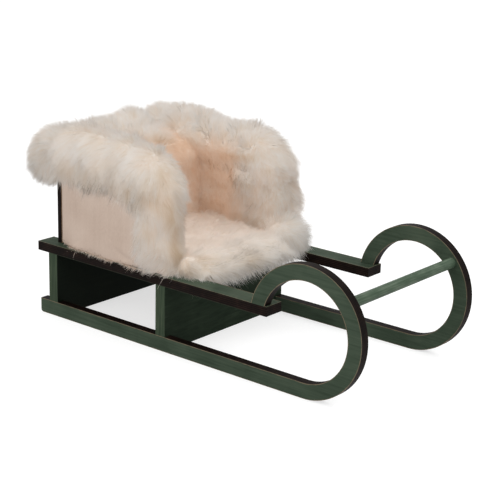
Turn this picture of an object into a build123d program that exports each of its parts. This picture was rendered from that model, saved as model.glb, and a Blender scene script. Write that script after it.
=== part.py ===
from build123d import *
from math import asin, cos, degrees, radians, sin, sqrt
import os

# Small wooden sleigh with a fur lined seat box
# Millimetres, +X forward, +Y left, +Z up, origin on the ground under the middle

# Wooden sledge, overall
sleigh_width = 115.0
sleigh_length = 255.7
ply = 6.0

# Runners
runner_height = 9.5
curl_outer_radius = 39.5
heel_radius = 2.0

# Rails, over the runners
rail_bottom = 42.0
rail_width = 13.8
rail_overhang = 1.8
rail_lip = 1.6

# Cross panels, by the distance of their rear faces from the runners' heels
panel_thickness = 7.6
rear_panel_x = 8.1
front_panel_x = 102.8

# Crossbar, a dowel between the curls, at an angle above level from their centres
crossbar_radius = 3.2
crossbar_angle = 39.5

# Seat box, boards that stand on the rails
board = 3.5
backrest_x = 9.7
backrest_height = 60.0
box_inset = 6.9
box_depth = 97.8
side_height = 58.0
side_corner_radius = 16.0

# Padded covers on the outside of the box, and how far they bulge past the backrest's ends
cover_height = 49.0
cover_edge = 1.5
cover_bulge = 6.0

# Fur, as plain bodies out to the middle of the pile
back_roll_radius = 19.5
back_roll_rise = 1.0
back_roll_overhang = 9.4
back_roll_chamfer = 8.0
back_lining_top = 15.0
back_lining_foot = 34.0
back_lining_slope = 14.0
arm_roll_radius = 15.0
arm_roll_rise = 5.0
arm_lining = 7.6
seat_lining_rear = 11.0
seat_lining_front = 8.0
nose_length = 32.0
nose_inset = 7.5

# Places that follow from these sizes
half_width = sleigh_width / 2
inner_face = half_width - ply
rail_top = rail_bottom + ply
curl_inner_radius = curl_outer_radius - runner_height
curl_middle_radius = (curl_outer_radius + curl_inner_radius) / 2
curl_x = sleigh_length - curl_outer_radius
landing_rise = rail_top - curl_outer_radius
rail_front = curl_x - sqrt(curl_inner_radius**2 - landing_rise**2) + rail_lip
backrest_front = backrest_x + board
backrest_end = half_width - box_inset
box_front = backrest_front + box_depth
side_outer = backrest_end - cover_edge
side_inner = side_outer - board
board_top = rail_top + board
back_roll_z = rail_top + backrest_height + back_roll_rise
back_roll_end = backrest_end + back_roll_overhang
arm_roll_z = rail_top + side_height + arm_roll_rise
arm_roll_y = side_outer - board / 2
arm_front_x = box_front - board / 2

# Everything is placed from the runners' heels, and heel_x centres the whole on the origin
rear_end = min(-rail_overhang, backrest_x - back_roll_radius)
heel_x = -(rear_end + sleigh_length) / 2


# Runner: a level strip that runs on into a ring, cut off where the ring lands on the rail
def make_runner(outer_side):
    curl_centre = (heel_x + curl_x, curl_outer_radius)
    outer_sweep = 270 - degrees(asin(landing_rise / curl_outer_radius))
    inner_sweep = 270 - degrees(asin(landing_rise / curl_inner_radius))
    with BuildPart() as runner:
        with BuildSketch(Plane.XZ.offset(-outer_side)):
            with BuildLine():
                sole = Line((heel_x, 0), (heel_x + curl_x, 0))
                outer_arc = CenterArc(curl_centre, curl_outer_radius, -90, outer_sweep)
                inner_arc = CenterArc(curl_centre, curl_inner_radius, -90, inner_sweep)
                Line(outer_arc @ 1, inner_arc @ 1)
                top = Line(inner_arc @ 0, (heel_x, runner_height))
                Line(top @ 1, sole @ 0)
            make_face()
        extrude(amount=ply if outer_side > 0 else -ply)
        heel_edge = runner.edges().filter_by(Axis.Y).group_by(Axis.X)[0].sort_by(Axis.Z)[0]
        fillet(heel_edge, radius=heel_radius)
    return runner.part


# Rail: a flat strip over the runner, flush with its outer face
def make_rail(side):
    length = rail_front + rail_overhang
    middle_x = heel_x + (rail_front - rail_overhang) / 2
    middle_y = side * (half_width - rail_width / 2)
    with BuildPart() as rail:
        with BuildSketch(Plane((middle_x, middle_y, rail_bottom))):
            Rectangle(length, rail_width)
        extrude(amount=ply)
    return rail.part


# Cross panel: full width under the rails, notched round the runners at its lower corners
def make_cross_panel(rear_x):
    notch_y = half_width - ply / 2
    with BuildPart() as panel:
        with BuildSketch(Plane.YZ.offset(heel_x + rear_x)):
            with Locations((0, rail_bottom / 2)):
                Rectangle(sleigh_width, rail_bottom)
            with Locations((-notch_y, runner_height / 2), (notch_y, runner_height / 2)):
                Rectangle(ply, runner_height, mode=Mode.SUBTRACT)
        extrude(amount=panel_thickness)
    return panel.part


# Side panel of the seat box, with its front top corner rounded off under the fur
def make_side_panel(side):
    start_y = side * side_inner if side > 0 else -side_outer
    middle = (heel_x + backrest_front + box_depth / 2, rail_top + side_height / 2)
    with BuildPart() as panel:
        with BuildSketch(Plane.XZ.offset(-start_y)):
            with Locations(middle):
                Rectangle(box_depth, side_height)
        extrude(amount=-board)
        corner = panel.edges().filter_by(Axis.Y).group_by(Axis.X)[-1].sort_by(Axis.Z)[-1]
        fillet(corner, radius=side_corner_radius)
    return panel.part


# Side cover: flush with the backrest's end at the rear, and fuller towards the front
def make_side_cover(side):
    rear_x = heel_x + backrest_front
    front_x = heel_x + box_front
    bulges = [(0.0, 0.0), (0.13, 0.5), (0.48, 0.83), (1.0, 1.0)]
    outline = [(rear_x + along * box_depth, side * (backrest_end + out * cover_bulge)) for along, out in bulges]
    with BuildPart() as cover:
        with BuildSketch(Plane.XY.offset(rail_top)):
            with BuildLine():
                bulge = Spline(*outline)
                Polyline(bulge @ 1, (front_x, side * side_outer), (rear_x, side * side_outer), bulge @ 0)
            make_face()
        extrude(amount=cover_height)
    return cover.part


# Fur over one side: a roll on the panel's top that turns down its front edge, and a lining
def make_arm_fur(side):
    bend_x = heel_x + arm_front_x - side_corner_radius
    bend_z = arm_roll_z - side_corner_radius
    rear_x = heel_x + backrest_front
    front_x = heel_x + arm_front_x
    lining_length = arm_front_x - backrest_front
    lining_height = arm_roll_z - board_top
    with BuildPart() as fur:
        with BuildLine(Plane.XZ.offset(-side * arm_roll_y)):
            Line((rear_x, arm_roll_z), (bend_x, arm_roll_z))
            CenterArc((bend_x, bend_z), side_corner_radius, 90, -90)
            Line((front_x, bend_z), (front_x, rail_top))
        with BuildSketch(Plane.YZ.offset(rear_x)):
            with Locations((side * arm_roll_y, arm_roll_z)):
                Circle(arm_roll_radius)
        sweep()
        with BuildSketch(Plane.XY.offset(board_top)):
            with Locations((rear_x + lining_length / 2, side * (side_inner - arm_lining / 2))):
                Rectangle(lining_length, arm_lining)
        extrude(amount=lining_height)
    return fur.part


right_runner_body = make_runner(-half_width)
left_runner_body = make_runner(half_width)
right_rail_body = make_rail(-1)
left_rail_body = make_rail(1)
rear_panel_body = make_cross_panel(rear_panel_x)
front_panel_body = make_cross_panel(front_panel_x)
right_side_body = make_side_panel(-1)
left_side_body = make_side_panel(1)
right_cover_body = make_side_cover(-1)
left_cover_body = make_side_cover(1)
right_arm_body = make_arm_fur(-1)
left_arm_body = make_arm_fur(1)

with BuildPart() as right_runner:
    add(right_runner_body)
right_runner.part.label = "right_runner"

with BuildPart() as left_runner:
    add(left_runner_body)
left_runner.part.label = "left_runner"

with BuildPart() as right_rail:
    add(right_rail_body)
right_rail.part.label = "right_rail"

with BuildPart() as left_rail:
    add(left_rail_body)
left_rail.part.label = "left_rail"

with BuildPart() as rear_panel:
    add(rear_panel_body)
rear_panel.part.label = "rear_panel"

with BuildPart() as front_panel:
    add(front_panel_body)
front_panel.part.label = "front_panel"

# Crossbar, from the inner face of one curl to the other, in the middle of the ring's width
crossbar_x = heel_x + curl_x + curl_middle_radius * cos(radians(crossbar_angle))
crossbar_z = curl_outer_radius + curl_middle_radius * sin(radians(crossbar_angle))

with BuildPart() as front_crossbar:
    with BuildSketch(Plane.XZ.offset(-inner_face)):
        with Locations((crossbar_x, crossbar_z)):
            Circle(crossbar_radius)
    extrude(amount=2 * inner_face)
front_crossbar.part.label = "front_crossbar"

# Seat board, between the side panels
with BuildPart() as seat_board:
    with BuildSketch(Plane((heel_x + backrest_front + box_depth / 2, 0, rail_top))):
        Rectangle(box_depth, 2 * side_inner)
    extrude(amount=board)
seat_board.part.label = "seat_board"

# Backrest, upright across both rails
with BuildPart() as backrest_panel:
    with BuildSketch(Plane.YZ.offset(heel_x + backrest_x)):
        with Locations((0, rail_top + backrest_height / 2)):
            Rectangle(2 * backrest_end, backrest_height)
    extrude(amount=board)
backrest_panel.part.label = "backrest_panel"

with BuildPart() as right_side_panel:
    add(right_side_body)
right_side_panel.part.label = "right_side_panel"

with BuildPart() as left_side_panel:
    add(left_side_body)
left_side_panel.part.label = "left_side_panel"

with BuildPart() as right_side_cover:
    add(right_cover_body)
right_side_cover.part.label = "right_side_cover"

with BuildPart() as left_side_cover:
    add(left_cover_body)
left_side_cover.part.label = "left_side_cover"

# Fur over the backrest: a roll along its top edge, and a lining that slopes forward and runs down to the seat
lining_low = board_top + seat_lining_rear / 2
lining_rear_x = heel_x + backrest_front
with BuildPart() as back_pelt:
    with BuildSketch(Plane.XZ.offset(-back_roll_end)):
        with Locations((heel_x + backrest_x, back_roll_z)):
            Circle(back_roll_radius)
    extrude(amount=2 * back_roll_end)
    roll_ends = back_pelt.edges().filter_by(GeomType.CIRCLE)
    chamfer(roll_ends, length=back_roll_chamfer)
    with BuildSketch(Plane.XZ.offset(-side_inner)):
        with BuildLine():
            foot = Line((lining_rear_x, lining_low), (lining_rear_x + back_lining_foot, lining_low))
            face = Line(foot @ 1, (lining_rear_x + back_lining_foot, back_roll_z - back_lining_slope))
            slope = Line(face @ 1, (lining_rear_x + back_lining_top, back_roll_z))
            Polyline(slope @ 1, (lining_rear_x, back_roll_z), foot @ 0)
        make_face()
    extrude(amount=2 * side_inner)
    add(backrest_panel.part, mode=Mode.SUBTRACT)
    add(right_side_panel.part, mode=Mode.SUBTRACT)
    add(left_side_panel.part, mode=Mode.SUBTRACT)
    add(right_side_cover.part, mode=Mode.SUBTRACT)
    add(left_side_cover.part, mode=Mode.SUBTRACT)
back_pelt.part.label = "back_pelt"

with BuildPart() as right_arm_pelt:
    add(right_arm_body)
    add(back_pelt.part, mode=Mode.SUBTRACT)
    add(backrest_panel.part, mode=Mode.SUBTRACT)
    add(right_side_panel.part, mode=Mode.SUBTRACT)
    add(right_side_cover.part, mode=Mode.SUBTRACT)
    add(seat_board.part, mode=Mode.SUBTRACT)
right_arm_pelt.part.label = "right_arm_pelt"

with BuildPart() as left_arm_pelt:
    add(left_arm_body)
    add(back_pelt.part, mode=Mode.SUBTRACT)
    add(backrest_panel.part, mode=Mode.SUBTRACT)
    add(left_side_panel.part, mode=Mode.SUBTRACT)
    add(left_side_cover.part, mode=Mode.SUBTRACT)
    add(seat_board.part, mode=Mode.SUBTRACT)
left_arm_pelt.part.label = "left_arm_pelt"

# Fur on the seat: it falls a little forward between the sides, with a nose over the rails in front
nose_half_width = half_width - nose_inset
nose_height = board + seat_lining_front
with BuildPart() as seat_pelt:
    with BuildSketch(Plane.XZ.offset(-side_inner)):
        with BuildLine():
            base = Line((heel_x + box_front, board_top), (lining_rear_x, board_top))
            top_rear = (lining_rear_x, board_top + seat_lining_rear)
            Polyline(base @ 1, top_rear, (heel_x + box_front, board_top + seat_lining_front), base @ 0)
        make_face()
    extrude(amount=2 * side_inner)
    with BuildSketch(Plane.XZ.offset(-nose_half_width)):
        with BuildLine():
            nose = EllipticalCenterArc((heel_x + box_front, rail_top), nose_length, nose_height, arc_size=90)
            Polyline(nose @ 1, (heel_x + box_front, rail_top), nose @ 0)
        make_face()
    extrude(amount=2 * nose_half_width)
    add(back_pelt.part, mode=Mode.SUBTRACT)
    add(right_arm_pelt.part, mode=Mode.SUBTRACT)
    add(left_arm_pelt.part, mode=Mode.SUBTRACT)
seat_pelt.part.label = "seat_pelt"

os.makedirs("parts", exist_ok=True)
export_step(right_runner.part, "parts/right_runner.step")
export_step(left_runner.part, "parts/left_runner.step")
export_step(right_rail.part, "parts/right_rail.step")
export_step(left_rail.part, "parts/left_rail.step")
export_step(rear_panel.part, "parts/rear_panel.step")
export_step(front_panel.part, "parts/front_panel.step")
export_step(front_crossbar.part, "parts/front_crossbar.step")
export_step(seat_board.part, "parts/seat_board.step")
export_step(backrest_panel.part, "parts/backrest_panel.step")
export_step(right_side_panel.part, "parts/right_side_panel.step")
export_step(left_side_panel.part, "parts/left_side_panel.step")
export_step(right_side_cover.part, "parts/right_side_cover.step")
export_step(left_side_cover.part, "parts/left_side_cover.step")
export_step(back_pelt.part, "parts/back_pelt.step")
export_step(right_arm_pelt.part, "parts/right_arm_pelt.step")
export_step(left_arm_pelt.part, "parts/left_arm_pelt.step")
export_step(seat_pelt.part, "parts/seat_pelt.step")
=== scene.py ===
import math

import bpy
import numpy as np
from mathutils import Matrix, Vector, kdtree


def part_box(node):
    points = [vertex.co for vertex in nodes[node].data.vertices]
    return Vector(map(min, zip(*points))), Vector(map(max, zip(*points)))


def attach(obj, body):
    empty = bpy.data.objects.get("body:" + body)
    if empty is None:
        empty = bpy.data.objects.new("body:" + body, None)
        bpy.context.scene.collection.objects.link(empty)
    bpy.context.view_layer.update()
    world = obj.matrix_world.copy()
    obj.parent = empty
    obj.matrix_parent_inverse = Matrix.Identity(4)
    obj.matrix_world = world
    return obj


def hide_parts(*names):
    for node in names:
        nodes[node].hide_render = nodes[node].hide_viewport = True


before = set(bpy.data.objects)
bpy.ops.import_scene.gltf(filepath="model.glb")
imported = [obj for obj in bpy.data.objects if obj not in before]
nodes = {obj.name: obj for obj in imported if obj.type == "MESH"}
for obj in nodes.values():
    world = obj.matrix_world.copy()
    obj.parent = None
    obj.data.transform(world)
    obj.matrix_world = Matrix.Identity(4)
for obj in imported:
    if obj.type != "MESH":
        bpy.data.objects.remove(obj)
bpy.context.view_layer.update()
scene = bpy.context.scene
MM = 0.001
PILE_SHARE = 1.0

# Node helpers


class Nodes:
    """Short forms for building a material's node tree."""

    def __init__(self, name):
        self.mat = bpy.data.materials.new(name)
        self.mat.use_nodes = True
        self.tree = self.mat.node_tree
        self.tree.nodes.clear()
        self.out = self.tree.nodes.new("ShaderNodeOutputMaterial")

    def new(self, kind, **values):
        node = self.tree.nodes.new(kind)
        for key, value in values.items():
            setattr(node, key, value)
        return node

    def set(self, socket, value):
        if isinstance(value, bpy.types.NodeSocket):
            self.tree.links.new(value, socket)
        elif value is not None:
            socket.default_value = value

    def math(self, operation, a, b=None, c=None, clamp=False):
        node = self.new("ShaderNodeMath", operation=operation, use_clamp=clamp)
        for socket, value in zip(node.inputs, (a, b, c)):
            self.set(socket, value)
        return node.outputs[0]

    def split(self, vector):
        node = self.new("ShaderNodeSeparateXYZ")
        self.set(node.inputs[0], vector)
        return node.outputs

    def step(self, value, low, high, start=0.0, end=1.0):
        """Runs smoothly from start to end as value goes from low to high."""
        node = self.new("ShaderNodeMapRange", interpolation_type="SMOOTHSTEP")
        for socket, number in zip(node.inputs, (value, low, high, start, end)):
            self.set(socket, number)
        return node.outputs[0]

    def ramp(self, value, stops):
        """A colour or grey ramp; stops are (place, grey or colour)."""
        node = self.new("ShaderNodeValToRGB")
        bar = node.color_ramp
        while len(bar.elements) < len(stops):
            bar.elements.new(0.5)
        for element, (place, colour) in zip(bar.elements, stops):
            element.position = place
            if not hasattr(colour, "__len__"):
                colour = (colour,) * 3
            element.color = (*colour, 1.0)
        self.set(node.inputs[0], value)
        return node.outputs[0]

    def mix(self, factor, a, b, blend="MIX"):
        node = self.new("ShaderNodeMix", data_type="RGBA", blend_type=blend)
        self.set(node.inputs[0], factor)
        for socket, value in ((node.inputs[6], a), (node.inputs[7], b)):
            if not isinstance(value, bpy.types.NodeSocket):
                value = (*value, 1.0)
            self.set(socket, value)
        return node.outputs[2]

    def facing(self, axis):
        """One where the surface looks along the axis, either way, and zero elsewhere."""
        normal = self.split(self.new("ShaderNodeNewGeometry").outputs["True Normal"])
        return self.math("GREATER_THAN", self.math("ABSOLUTE", normal[axis]), SQUARE)

    def position(self):
        """The object's own coordinates, which are the frame's, in metres."""
        return self.new("ShaderNodeTexCoord").outputs["Object"]

    def grey(self, value):
        """A plain number as a grey colour."""
        return self.ramp(value, [(0.0, 0.0), (1.0, 1.0)])

    def scaled(self, vector, scale):
        node = self.new("ShaderNodeMapping")
        self.set(node.inputs["Vector"], vector)
        node.inputs["Scale"].default_value = scale
        return node.outputs[0]

    def noise(self, vector, scale=1.0, detail=3.0, rough=0.55, warp=0.0):
        node = self.new("ShaderNodeTexNoise")
        self.set(node.inputs["Vector"], vector)
        node.inputs["Scale"].default_value = scale
        node.inputs["Detail"].default_value = detail
        node.inputs["Roughness"].default_value = rough
        node.inputs["Distortion"].default_value = warp
        return node.outputs["Fac"]

    def bump(self, height, distance, strength):
        node = self.new("ShaderNodeBump")
        node.inputs["Strength"].default_value = strength
        node.inputs["Distance"].default_value = distance
        self.set(node.inputs["Height"], height)
        return node.outputs[0]

    def surface(self, **sockets):
        shader = self.new("ShaderNodeBsdfPrincipled")
        for name, value in sockets.items():
            socket = shader.inputs[name.replace("_", " ")]
            if hasattr(value, "__len__") and not isinstance(value, bpy.types.NodeSocket):
                value = (*value, 1.0)
            self.set(socket, value)
        self.tree.links.new(shader.outputs[0], self.out.inputs["Surface"])
        return self.mat


# Wood

PAINT = (0.0445, 0.0630, 0.0425)
PAINT_DARK = (0.031, 0.046, 0.030)
PAINT_LIGHT = (0.065, 0.086, 0.059)
BURNT = (0.0020, 0.0012, 0.0009)
BURNT_RED = (0.0092, 0.0046, 0.0034)
BURNT_PALE = (0.028, 0.0140, 0.0100)
WORN_EDGE = (0.20, 0.150, 0.100)
# Painted shade for the cross panels' faces, which lie in shade under the seat: a darker copy of their paint,
# and black for the deepest.
PAINTED_SHADE_BLACK = (0.004, 0.006, 0.004)
BOARD_FACE_PAINTED_SHADE = [(0.35, (0.010, 0.018, 0.010)), (0.55, (0.018, 0.029, 0.017)), (0.72, (0.033, 0.049, 0.030))]
BOARD_END = [(0.34, (0.023, 0.036, 0.022)), (0.5, (0.038, 0.055, 0.034)), (0.68, (0.072, 0.092, 0.057))]
DOWEL_PAINT = [(0.35, (0.040, 0.066, 0.040)), (0.52, (0.062, 0.095, 0.062)), (0.70, (0.14, 0.18, 0.13))]
BARE_WOOD = [(0.3, (0.30, 0.20, 0.125)), (0.5, (0.42, 0.30, 0.195)), (0.7, (0.50, 0.375, 0.25))]
MATT = 0.05
SHEET_LAYERS, BOARD_LAYERS = 5, 3

# How squarely a face must look along an axis to count as facing it
SQUARE = 0.7


def painted_sheet(name, axis, low, high, grain, border):
    """Painted plywood with burnt layered edges. Its broad faces look along axis, from low to high.
    border(n, place) is the distance from the sheet's outline, in metres, where the paint is rubbed off."""
    n = Nodes(name)
    place = n.position()
    along = n.split(place)[axis]
    broad = n.facing(axis)

    # Paint: streaks along the grain and a cloudy coat, rubbed off at the outline
    streak_scale = [640.0, 640.0, 640.0]
    streak_scale[grain] = 26.0
    streaks = n.noise(n.scaled(place, streak_scale), 1.0, 4.0, 0.6)
    clouds = n.noise(n.scaled(place, (34, 34, 34)), 1.0, 3.0, 0.5, 0.6)
    tone = n.math("ADD", n.math("MULTIPLY", streaks, 0.5), n.math("MULTIPLY", clouds, 0.5))
    paint = n.ramp(tone, [(0.36, PAINT_DARK), (0.50, PAINT), (0.70, PAINT_LIGHT)])
    wobble = n.noise(place, 260.0, 3.0, 0.6)
    rubbed = n.math("ADD", border(n, place), n.math("MULTIPLY_ADD", wobble, -0.0009, 0.00042))
    rubbed = n.step(rubbed, 0.00012, 0.00045, 0.85, 0.0)
    paint = n.mix(rubbed, paint, WORN_EDGE)

    # Burnt edge: bands by the depth in the sheet, wavering a little along the cut
    depth = n.math("DIVIDE", n.math("SUBTRACT", along, low), high - low)
    waver = n.noise(place, 60.0, 2.0, 0.5)
    bent = n.math("ADD", depth, n.math("MULTIPLY_ADD", waver, 0.06, -0.03))
    wave = n.math("SINE", n.math("MULTIPLY", bent, 2 * math.pi * SHEET_LAYERS))
    soot = n.noise(place, 150.0, 4.0, 0.65)
    band = n.math("MULTIPLY_ADD", wave, 0.22, n.math("MULTIPLY_ADD", soot, 0.9, 0.02))
    edge = n.ramp(band, [(0.30, BURNT), (0.62, BURNT_RED), (0.95, BURNT_PALE)])
    lip = n.math("ABSOLUTE", n.math("SUBTRACT", depth, 0.5))
    edge = n.mix(n.step(lip, 0.455, 0.485, 0.0, 0.55), edge, PAINT)
    colour = n.mix(broad, edge, paint)
    height = n.math("MULTIPLY_ADD", wave, 0.15, streaks)
    return n.surface(
        Base_Color=colour,
        Roughness=n.ramp(tone, [(0.3, 0.66), (0.7, 0.5)]),
        Normal=n.bump(height, 0.00012, 0.5),
        Specular_IOR_Level=MATT,
    )


def wood_on(node, material):
    mesh = nodes[node].data
    mesh.materials.clear()
    mesh.materials.append(material)


# Sizes of the curl, which follow from the runner's box
RUNNER_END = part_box("right_runner")[1]
CURL_RADIUS = RUNNER_END.z / 2
CURL_X = RUNNER_END.x - CURL_RADIUS
RUNNER_HEIGHT = 9.5 * MM


def runner_border(n, place):
    """Distance inside the runner's outline: a level strip that runs on into a ring."""
    x, _, z = n.split(place)
    dx = n.math("SUBTRACT", x, CURL_X)
    dz = n.math("SUBTRACT", z, CURL_RADIUS)
    reach = n.math("SQRT", n.math("ADD", n.math("MULTIPLY", dx, dx), n.math("MULTIPLY", dz, dz)))
    outer = n.math("SUBTRACT", CURL_RADIUS, reach)
    inner = n.math("SUBTRACT", reach, CURL_RADIUS - RUNNER_HEIGHT)
    ring = n.math("MINIMUM", outer, inner)
    strip = n.math("MINIMUM", z, n.math("SUBTRACT", RUNNER_HEIGHT, z))
    curled = n.math("MAXIMUM", n.math("GREATER_THAN", dx, 0.0), n.math("GREATER_THAN", z, 0.02))
    level = n.math("SUBTRACT", 1.0, curled)
    return n.math("ADD", n.math("MULTIPLY", ring, curled), n.math("MULTIPLY", strip, level))


def box_border(low, high, axis):
    def border(n, place):
        xyz = n.split(place)
        found = None
        for k in range(3):
            if k == axis:
                continue
            near = n.math("MINIMUM", n.math("SUBTRACT", xyz[k], low[k]), n.math("SUBTRACT", high[k], xyz[k]))
            found = near if found is None else n.math("MINIMUM", found, near)
        return found

    return border


for side in ("right", "left"):
    low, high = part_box(side + "_runner")
    wood_on(side + "_runner", painted_sheet(side + "_runner_ply", 1, low.y, high.y, 0, runner_border))
    low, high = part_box(side + "_rail")
    wood_on(side + "_rail", painted_sheet(side + "_rail_ply", 2, low.z, high.z, 0, box_border(low, high, 2)))


def painted_board(name, shade):
    """Painted cross panel: brush streaks on its faces, in painted shade that darkens as shade goes up, and
    upright grain on sawn ends.
    """
    n = Nodes(name)
    place = n.position()
    end = n.facing(1)
    brush = n.noise(n.scaled(place, (300, 55, 420)), 1.0, 4.0, 0.6, 0.8)
    grain = n.noise(n.scaled(place, (1500, 300, 34)), 1.0, 4.0, 0.6)
    clouds = n.noise(place, 45.0, 3.0, 0.5, 0.5)
    face_tone = n.math("ADD", n.math("MULTIPLY", brush, 0.6), n.math("MULTIPLY", clouds, 0.4))
    end_tone = n.math("ADD", n.math("MULTIPLY", grain, 0.75), n.math("MULTIPLY", clouds, 0.25))
    # Painted shade: the faces use a darker copy of the paint, mixed on towards black by shade.
    face = n.mix(shade, n.ramp(face_tone, BOARD_FACE_PAINTED_SHADE), PAINTED_SHADE_BLACK)
    ends = n.ramp(end_tone, BOARD_END)
    height = n.mix(end, n.grey(face_tone), n.grey(end_tone))
    return n.surface(
        Base_Color=n.mix(end, face, ends),
        Roughness=0.6,
        Normal=n.bump(height, 0.00015, 0.6),
        Specular_IOR_Level=MATT,
    )


def painted_dowel(name):
    n = Nodes(name)
    place = n.position()
    streaks = n.noise(n.scaled(place, (900, 40, 900)), 1.0, 4.0, 0.6)
    clouds = n.noise(place, 70.0, 2.0, 0.5)
    tone = n.math("ADD", n.math("MULTIPLY", streaks, 0.6), n.math("MULTIPLY", clouds, 0.4))
    colour = n.ramp(tone, DOWEL_PAINT)
    relief = n.bump(streaks, 0.00012, 0.6)
    return n.surface(Base_Color=colour, Roughness=0.5, Normal=relief, Specular_IOR_Level=0.1)


def bare_ply(name, axis, low, high):
    """Thin plywood with burnt edges, whose broad faces look along axis."""
    n = Nodes(name)
    place = n.position()
    broad = n.facing(axis)
    stretch = [420.0, 420.0, 420.0]
    stretch[1 if axis != 1 else 0] = 18.0
    grain = n.noise(n.scaled(place, stretch), 1.0, 4.0, 0.62, 0.4)
    face = n.ramp(grain, BARE_WOOD)
    depth = n.math("DIVIDE", n.math("SUBTRACT", n.split(place)[axis], low), high - low)
    wave = n.math("SINE", n.math("MULTIPLY", depth, 2 * math.pi * BOARD_LAYERS))
    soot = n.noise(place, 150.0, 4.0, 0.65)
    band = n.math("MULTIPLY_ADD", wave, 0.2, n.math("MULTIPLY_ADD", soot, 0.8, 0.05))
    edge = n.ramp(band, [(0.35, BURNT), (0.62, BURNT_RED), (0.95, BURNT_PALE)])
    return n.surface(
        Base_Color=n.mix(broad, edge, face),
        Roughness=0.62,
        Normal=n.bump(grain, 0.0001, 0.4),
        Specular_IOR_Level=MATT,
    )


# How much painted shade each panel's faces get; the rear one lies deepest under the seat.
for node, shade in (("rear_panel", 0.85), ("front_panel", 0.1)):
    wood_on(node, painted_board(node + "_paint", shade))
wood_on("front_crossbar", painted_dowel("crossbar_paint"))
for node, axis in (("backrest_panel", 0), ("seat_board", 2), ("right_side_panel", 1), ("left_side_panel", 1)):
    low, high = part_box(node)
    wood_on(node, bare_ply(node + "_ply", axis, low[axis], high[axis]))

# Soft materials

UV_NAME = "OFBake"
HIDE_PALE = (0.665, 0.61, 0.555)
# The linings' peach is partly the pelt's own pinker colour, partly painted shade and colour bleed in the
# hollow.
HIDE_PEACH = (0.72, 0.515, 0.38)
# Painted light: the seat's under-fur is a lighter copy, as the arms and back shade the seat.
HIDE_SEAT_PAINTED_LIGHT = (0.92, 0.82, 0.74)
HIDE_FIBRE = (0.80, 0.76, 0.71)

# Hair colours from root to tip
PALE_HAIR = [
    (0.0, (0.56, 0.44, 0.315)),
    (0.35, (0.665, 0.59, 0.505)),
    (0.7, (0.714, 0.692, 0.665)),
    (1.0, (0.744, 0.738, 0.724)),
]
# The linings' peach is partly the pelt's own pinker colour, partly painted shade and colour bleed in the
# hollow.
PEACH_HAIR = [
    (0.0, (0.58, 0.36, 0.225)),
    (0.4, (0.72, 0.49, 0.34)),
    (0.8, (0.81, 0.61, 0.465)),
    (1.0, (0.84, 0.66, 0.525)),
]
# Painted light: the seat's hair is a lighter, warmer copy of the fur, as the arms and back shade the seat.
SEAT_HAIR_PAINTED_LIGHT = [
    (0.0, (0.74, 0.60, 0.48)),
    (0.4, (0.87, 0.785, 0.71)),
    (0.8, (0.91, 0.85, 0.79)),
    (1.0, (0.92, 0.87, 0.82)),
]
NAP_TONES = [(0.34, (0.455, 0.350, 0.285)), (0.50, (0.520, 0.412, 0.342)), (0.66, (0.565, 0.458, 0.385))]
NAP_DARK_SPOTS = (0.10, 0.065, 0.045)
PILE_GLOW = 0.4


def pile_material(name, pale, deep):
    """Fur strands, coloured only by their own map: u is the tone, pale to deep, and v runs root to tip."""
    n = Nodes(name)
    uv = n.new("ShaderNodeUVMap", uv_map=UV_NAME).outputs[0]
    u, v, _ = n.split(uv)
    colour = n.mix(u, n.ramp(v, pale), n.ramp(v, deep))
    n.surface(Base_Color=colour, Roughness=0.85, Specular_IOR_Level=0.1)
    through = n.new("ShaderNodeBsdfTranslucent")
    n.set(through.inputs["Color"], colour)
    mixer = n.new("ShaderNodeMixShader")
    mixer.inputs[0].default_value = PILE_GLOW
    n.set(mixer.inputs[1], n.out.inputs["Surface"].links[0].from_socket)
    n.set(mixer.inputs[2], through.outputs[0])
    n.set(n.out.inputs["Surface"], mixer.outputs[0])
    return n.mat


def hide_material(name, pale, deep):
    """The dense under-fur, whose tone, from pale to deep and on to a painted shade, comes from its vertices.
    """
    n = Nodes(name)
    place = n.position()
    fibres = n.noise(place, 900.0, 4.0, 0.7)
    tone = n.new("ShaderNodeAttribute", attribute_name="tone").outputs["Fac"]
    # Painted shade, where the partings take the tone past the deep colour.
    shaded = tuple(0.55 * part for part in deep)
    colour = n.ramp(tone, [(0.0, pale), (0.9, deep), (1.0, shaded)])
    colour = n.mix(n.math("MULTIPLY", fibres, 0.22), colour, HIDE_FIBRE)
    relief = n.bump(fibres, 0.0006, 0.7)
    return n.surface(Base_Color=colour, Roughness=0.9, Normal=relief, Specular_IOR_Level=0.1)


def nap_material(name):
    """Matt short-nap fabric with faint upright lines, and small dark spots near its lowest edge, where it
    meets the rail.
    """
    n = Nodes(name)
    place = n.position()
    nap = n.noise(n.scaled(place, (2400, 2400, 900)), 1.0, 3.0, 0.7)
    lines = n.noise(n.scaled(place, (380, 380, 16)), 1.0, 2.0, 0.5)
    clouds = n.noise(place, 36.0, 2.0, 0.5)
    tone = n.math("MULTIPLY_ADD", nap, 0.45, n.math("MULTIPLY", lines, 0.15))
    tone = n.math("MULTIPLY_ADD", clouds, 0.40, tone)
    colour = n.ramp(tone, NAP_TONES)
    # Small dark spots in a narrow band at the lowest edge.
    low = n.step(n.split(place)[2], 0.0488, 0.0520, 1.0, 0.0)
    dark_spots = n.step(n.noise(place, 620.0, 2.0, 0.5), 0.60, 0.66)
    colour = n.mix(n.math("MULTIPLY", low, dark_spots), colour, NAP_DARK_SPOTS)
    relief = n.bump(tone, 0.00025, 0.6)
    return n.surface(Base_Color=colour, Roughness=0.92, Normal=relief, Specular_IOR_Level=MATT)


# Fur, as mesh

HEEL_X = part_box("right_runner")[0].x / MM


def local(x):
    """Millimetres ahead of the runners' heels, as a coordinate of the frame."""
    return x + HEEL_X


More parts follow.
